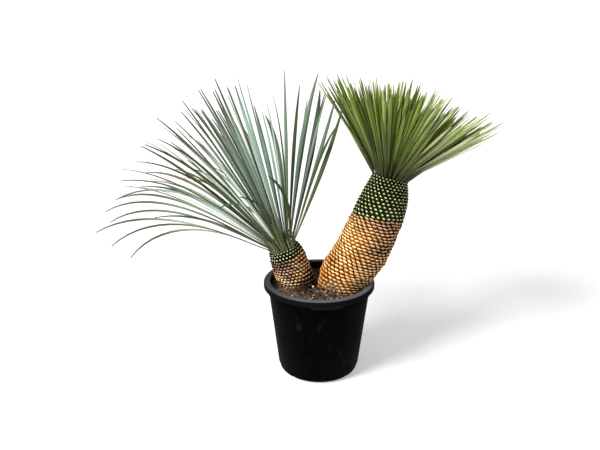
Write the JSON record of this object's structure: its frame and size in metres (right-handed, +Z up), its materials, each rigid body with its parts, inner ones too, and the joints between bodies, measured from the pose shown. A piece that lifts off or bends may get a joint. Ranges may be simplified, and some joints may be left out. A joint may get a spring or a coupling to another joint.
{
  "type": "beaked yucca in a nursery pot",
  "caption": "Potted beaked yucca: thick leaning trunks clothed in cut leaf bases, each with a round head of narrow leaves, in a round plastic pot of soil.",
  "frame": {"origin": "centre of the pot's base, on the ground", "axes": "+Z up; +X to the right as the picture shows it, from the short head towards the tall one; +Y away from the viewer"},
  "size_m": [1.2824, 0.7245, 0.9941],
  "materials": {
    "black_plastic": "matte black moulded plastic with a paler, scuffed rim",
    "potting_soil": "dry dark brown potting soil with bark chips",
    "old_leaf_bases": "tan to golden cut leaf bases with dark gaps between them",
    "green_leaf_bases": "dark green cut leaf bases with pale cut faces",
    "green_leaves": "satin yellow-green leaves",
    "grey_leaves": "satin grey-green leaves",
    "pale_stone": "matt off-white"
  },
  "bodies": {
    "root": {"pot": "black_plastic", "soil": "potting_soil", "trunk_tall": "old_leaf_bases", "trunk_short": "old_leaf_bases", "collar_tall": "green_leaf_bases", "collar_short": "green_leaf_bases", "crown_tall": "green_leaves", "crown_short": "grey_leaves", "white_stone": "pale_stone"}
  },
  "joints": []
}
